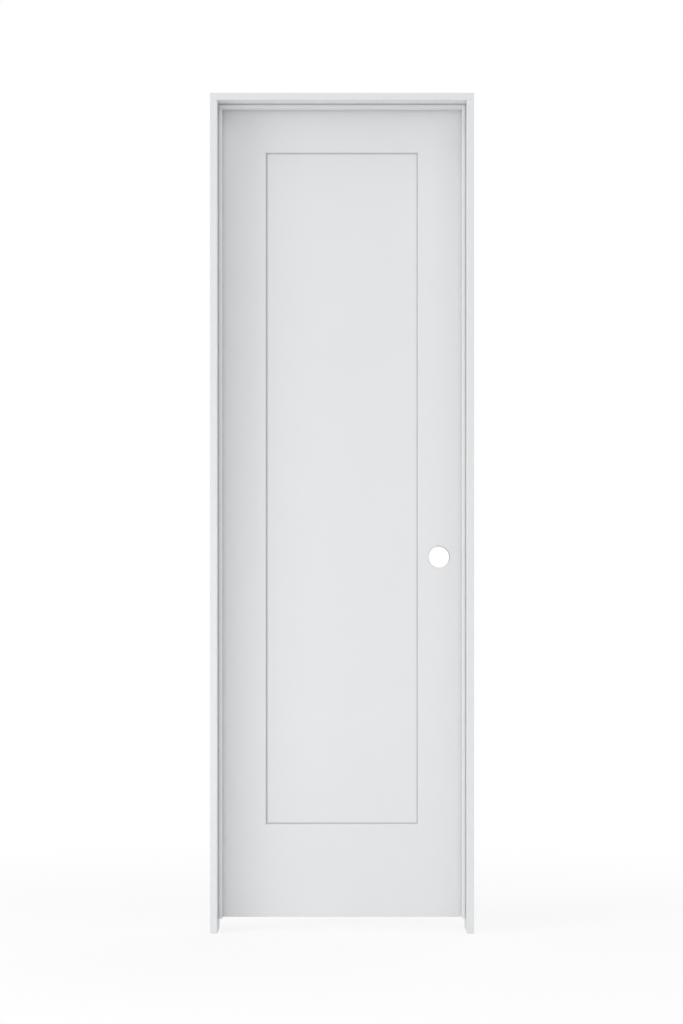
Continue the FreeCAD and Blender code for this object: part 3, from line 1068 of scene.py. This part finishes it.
@dataclass
class ButtHinge:
    """One hinge: its two leaves, its pin and the cross-recess screws of both leaves.

    Attributes:
        level: The hinge's place on the slab, as in its nodes' names.
        finish: The hinge's metal.
        edge_margin: Distance of the outer screws from the leaf's edge, in metres.
        stagger: How much farther in the middle screw stands, in metres.
        end_margin: Distance of the outer screws from the leaf's ends, in metres.
        head_radius: Radius of a screw's head, in metres.
        head_height: How far the head's middle stands over the leaf, in metres.
        rim_depth: How far the head's rim is sunk into the leaf, in metres.
        neck_depth: How far down the head meets the shank, in metres.
        shank_radius: Radius of the screw under its head, in metres.
        shank_length: How far the shank reaches into the leaf, in metres.
        arm_reach: Reach of the cross recess from the middle, in metres.
        arm_width: Half the width of an arm of the recess, in metres.
        arm_depth: Depth of the recess, in metres.
        flank_foot: How far across an arm its flank ends, as a share of the arm's half width.
        flank_width: Width of the flank, as a share of the arm's half width.
        angles: Number of points in a ring.
        rings: Number of rings from the head's middle to its rim.
        crowding: Power of the rings' spacing, under 1 where they crowd towards the rim.
        crease: The sharpest edge that is shaded smooth, in degrees.
        seed: Start of the random turns of the recesses.
        seed_step: How much the seed grows with each letter of the level.
    """

    level: str
    finish: SatinNickel = SatinNickel()
    edge_margin: float = 0.009
    stagger: float = 0.0127
    end_margin: float = 0.0135
    head_radius: float = 0.0043
    head_height: float = 0.00045
    rim_depth: float = 0.0001
    neck_depth: float = 0.0004
    shank_radius: float = 0.0024
    shank_length: float = 0.0018
    arm_reach: float = 0.0026
    arm_width: float = 0.00055
    arm_depth: float = 0.0015
    flank_foot: float = 1.25
    flank_width: float = 0.5
    angles: int = 64
    rings: int = 15
    crowding: float = 0.8
    crease: float = 40.0
    seed: int = 5
    seed_step: int = 10

    def relief(self, u: np.ndarray, v: np.ndarray) -> np.ndarray:
        """Works out a screw head's height over the leaf.

        The head is a low dome, its height falling with the square of the distance from the middle.
        From it two crossed grooves are taken. A groove's depth falls with the square root of the
        reach that is left along its arm, and softly, by a cubic step, over its flanks.

        Args:
            u: Distance along one arm.
            v: Distance along the other arm.

        Returns:
            The height at each point.
        """
        dome = self.head_height * (1 - (np.hypot(u, v) / self.head_radius) ** 2)
        grooves = []
        for along, across in ((np.abs(u), np.abs(v)), (np.abs(v), np.abs(u))):
            length = np.sqrt(np.clip(1 - along / self.arm_reach, 0, 1))
            left = self.flank_foot * self.arm_width - across
            flank = np.clip(left / (self.flank_width * self.arm_width), 0, 1)
            grooves.append(length * flank * flank * (3 - 2 * flank))
        return dome - self.arm_depth * np.maximum(*grooves)

    def screw(self, centre: np.ndarray, out: float, turn: float) -> np.ndarray:
        """Works out one screw as rings round its axis, which runs along X.

        The rings start at the head's middle, spread to its rim, go back under the rim to the shank
        and along it, and close at its end.

        Args:
            centre: The screw's centre on the leaf's face.
            out: 1 where the head faces +X, -1 where it faces -X.
            turn: Angle of the cross recess.

        Returns:
            The grid of points, rings by angles by 3.
        """
        angle = np.linspace(0, 2 * np.pi, self.angles, endpoint=False)
        spread = np.linspace(0, 1, self.rings) ** self.crowding * self.head_radius
        under_radius = np.array([self.head_radius, self.shank_radius, self.shank_radius, 0.0])
        under_depth = np.array([self.rim_depth, self.neck_depth, self.shank_length, self.shank_length])
        ring = np.concatenate([spread, under_radius])[:, None] * np.ones_like(angle)
        height = self.relief(ring * np.cos(angle), ring * np.sin(angle))
        height[self.rings:] = -under_depth[:, None]
        across, up = ring * np.cos(angle + turn), ring * np.sin(angle + turn)
        return np.stack([centre[0] + out * height, centre[1] + out * across, centre[2] + up], axis=-1)

    def screws(self, side: Side) -> bpy.types.Object:
        """Makes the three screws of one leaf as one piece.

        Args:
            side: The leaf that they hold.

        Returns:
            The piece.
        """
        low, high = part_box(f"{self.level}_hinge_{side.value}_leaf")
        face, out = (high.x, 1.0) if side is Side.FRAME else (low.x, -1.0)
        outer, inner = low.y + self.edge_margin, low.y + self.edge_margin + self.stagger
        levels = (low.z + self.end_margin, (low.z + high.z) / 2, high.z - self.end_margin)
        seed = self.seed + self.seed_step * len(self.level) + int(out)
        turns = np.random.default_rng(seed).uniform(0, np.pi, len(levels))
        name = f"{self.level}_hinge_{side.value}_screws"
        meshes = []
        for row, height, turn in zip((outer, inner, outer), levels, turns):
            meshes.append(sheet_mesh(name, self.screw(np.array([face, row, height]), out, turn), True))
        made = piece(name, joined(name, meshes), self.finish.material(name))
        smooth(made.data, self.crease)
        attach(made, side.value)
        return made

    def build(self) -> None:
        """Dresses the leaves and the pin, and adds the screws."""
        for part in ("frame_leaf", "door_leaf", "pin"):
            node = f"{self.level}_hinge_{part}"
            dress(node, self.finish.material(node))
        for side in Side:
            self.screws(side)


@dataclass(frozen=True)
class Softbox:
    """A rectangular lamp with cloth in front of it, aimed at the door.

    Attributes:
        name: The lamp's name.
        azimuth: Degrees round the door from straight in front, to the right.
        elevation: Degrees over the aimed point.
        distance: Metres from the aimed point.
        width: Width in metres.
        height: Height in metres.
        watts: Power.
        aim: Height of the aimed point on the door's middle line, in metres.
    """

    name: str
    azimuth: float
    elevation: float
    distance: float
    width: float
    height: float
    watts: float
    aim: float = 1.04

    def build(self, foot: Vector) -> None:
        """Hangs the lamp.

        Args:
            foot: The point on the floor under the door's middle.
        """
        around, over = math.radians(self.azimuth), math.radians(self.elevation)
        level = math.cos(over)
        away = Vector((math.sin(around) * level, -math.cos(around) * level, math.sin(over)))
        data = bpy.data.lights.new(self.name, "AREA")
        data.shape = "RECTANGLE"
        data.size = self.width
        data.size_y = self.height
        data.energy = self.watts
        lamp = bpy.data.objects.new(self.name, data)
        lamp.location = foot + Vector((0.0, 0.0, self.aim)) + away * self.distance
        lamp.rotation_euler = (-away).to_track_quat("-Z", "Y").to_euler()
        lamp.visible_camera = False
        bpy.context.scene.collection.objects.link(lamp)
        log.info("%s: %.1f W at %.0f, %.0f degrees", self.name, self.watts, self.azimuth, self.elevation)


@dataclass
class Studio:
    """The white studio: softboxes, even light from all round, and a pale floor.

    Attributes:
        ambient: Strength of the even light.
        lamps: The softboxes.
        floor_size: Half the floor's side, in metres.
        floor_drop: How far the floor lies under the legs' feet, in metres.
        floor_colour: The floor's colour.
        tooth: Grain of the floor's paper.
        tooth_tone: How much the grain changes the floor's tone.
        tooth_depth: Depth of the grain, in metres.
        near: Radius round the door inside which the floor shows its own light and shadow, in metres.
        far: Radius beyond which it is plain white, in metres.
        near_white: Share of plain white inside the near radius.
    """

    ambient: float = 0.545
    lamps: tuple[Softbox, ...] = (
        Softbox("key", azimuth=-60.0, elevation=12.0, distance=6.4, width=2.5, height=2.5, watts=80.0),
        Softbox("top", azimuth=-50.0, elevation=60.0, distance=4.6, width=1.8, height=1.8, watts=25.5),
        Softbox("fill", azimuth=40.0, elevation=36.0, distance=4.6, width=1.8, height=1.8, watts=23.0),
        Softbox(
            "low", azimuth=-30.0, elevation=2.0, distance=2.2, width=2.0, height=0.5, watts=7.5, aim=0.4
        ),
        Softbox("back", azimuth=150.0, elevation=30.0, distance=4.6, width=2.4, height=2.4, watts=45.0),
    )
    floor_size: float = 14.0
    floor_drop: float = 0.0006
    floor_colour: Triple = (0.96, 0.96, 0.96)
    tooth: Pattern = Pattern(900.0, 3.0)
    tooth_tone: float = 0.02
    tooth_depth: float = 0.00005
    near: float = 0.45
    far: float = 2.4
    near_white: float = 0.8

    def world(self) -> None:
        """Lights the scene evenly, and shows plain white to the camera and in reflections."""
        world = bpy.data.worlds.new("studio")
        bpy.context.scene.world = world
        world.use_nodes = True
        wiring = Wiring(world.node_tree)
        path = wiring.node("ShaderNodeLightPath").outputs
        mirrored = wiring.math("MAXIMUM", path["Is Glossy Ray"], path["Is Transmission Ray"])
        seen = wiring.math("MAXIMUM", path["Is Camera Ray"], mirrored)
        glow = wiring.node("ShaderNodeBackground")
        wiring.feed(glow.inputs["Color"], (1.0, 1.0, 1.0, 1.0))
        wiring.feed(glow.inputs["Strength"], wiring.ramp(seen, 0.0, 1.0, self.ambient, 1.0))
        wiring.feed(wiring.node("ShaderNodeOutputWorld").inputs[0], glow.outputs[0])

    def paper(self, foot: Vector) -> bpy.types.Material:
        """Makes the floor's paper: matt and pale by the door, where its shadow falls, and white beyond.

        Args:
            foot: The point on the floor under the door's middle.

        Returns:
            The material.
        """
        recipe = Recipe("floor_paper")
        place = recipe.place()
        distance = recipe.vector_math("DISTANCE", place, foot).outputs["Value"]
        white_share = recipe.ramp(distance, self.near, self.far, self.near_white, 1.0)
        seen = recipe.node("ShaderNodeLightPath").outputs["Is Camera Ray"]
        tooth = recipe.noise(place, self.tooth)
        colour = recipe.shade(self.floor_colour, recipe.sway(tooth, self.tooth_tone))
        matt = recipe.node("ShaderNodeBsdfDiffuse")
        recipe.feed(matt.inputs["Color"], colour)
        recipe.feed(matt.inputs["Normal"], recipe.bump(tooth, self.tooth_depth))
        mix = recipe.node("ShaderNodeMixShader")
        recipe.feed(mix.inputs[0], recipe.math("MULTIPLY", white_share, seen))
        recipe.feed(mix.inputs[1], matt.outputs[0])
        recipe.feed(mix.inputs[2], recipe.node("ShaderNodeEmission").outputs[0])
        return recipe.close(mix.outputs[0])

    def floor(self, foot: Vector) -> None:
        """Lays the floor, one flat square sheet.

        Args:
            foot: The point on the floor under the door's middle.
        """
        side = np.array([-self.floor_size, self.floor_size])
        x, y = np.meshgrid(foot.x + side, foot.y + side)
        grid = np.stack([x, y, np.full_like(x, foot.z - self.floor_drop)], axis=-1)
        ground = piece("floor", sheet_mesh("floor", grid, False), self.paper(foot))

    def build(self) -> None:
        """Sets up the world, the floor and the lamps."""
        low, high = CAD_BOX
        foot = Vector(((low.x + high.x) / 2, 0.0, low.z))
        self.world()
        self.floor(foot)
        for lamp in self.lamps:
            lamp.build(foot)


@dataclass
class PortraitCamera:
    """A level view camera whose lens is raised, so that the door's uprights stay parallel.

    Attributes:
        place: Where it stands, in metres.
        tilt: Degrees up from straight down, 90 where it looks level.
        lens: Focal length in millimetres.
        sensor: Height of the sensor in millimetres.
        raised: Rise of the lens, as a share of the picture's height.
        slid: Slide of the lens to the right, as a share of the picture's height.
        sight: How far it sees, in metres.
    """

    place: Triple = (0.3276, -5.8185, 0.8268)
    tilt: float = 90.0
    lens: float = 81.66
    sensor: float = 36.0
    raised: float = 0.0860
    slid: float = -0.0006
    sight: float = 100.0

    def build(self) -> None:
        """Makes the camera and hands it to the scene."""
        data = bpy.data.cameras.new("portrait")
        data.lens = self.lens
        data.sensor_width = self.sensor
        data.shift_x = self.slid
        data.shift_y = self.raised
        data.clip_end = self.sight
        camera = bpy.data.objects.new("portrait", data)
        camera.location = self.place
        camera.rotation_euler = (math.radians(self.tilt), 0.0, 0.0)
        bpy.context.scene.collection.objects.link(camera)
        bpy.context.scene.camera = camera
        log.info("%s: %.2f mm lens", camera.name, self.lens)


@dataclass
class Door:
    """The whole unit, with its jambs, slab and three hinges.

    Attributes:
        jambs: The frame in the wall.
        slab: The leaf that swings.
        hinges: The hinges between them.
    """

    jambs: Jambs = field(default_factory=Jambs)
    slab: Slab = field(default_factory=Slab)
    hinges: tuple[ButtHinge, ...] = (ButtHinge("top"), ButtHinge("middle"), ButtHinge("bottom"))

    def build(self) -> None:
        """Builds and dresses every sub-assembly."""
        self.jambs.build()
        self.slab.build()
        for hinge in self.hinges:
            hinge.build()


def main() -> None:
    """Builds the door, then the studio and the camera round it."""
    logging.basicConfig(level=logging.INFO, format="%(name)s: %(message)s")
    bpy.context.scene.view_settings.view_transform = "Standard"
    Door().build()
    Studio().build()
    PortraitCamera().build()


if __name__ == "__main__":
    main()
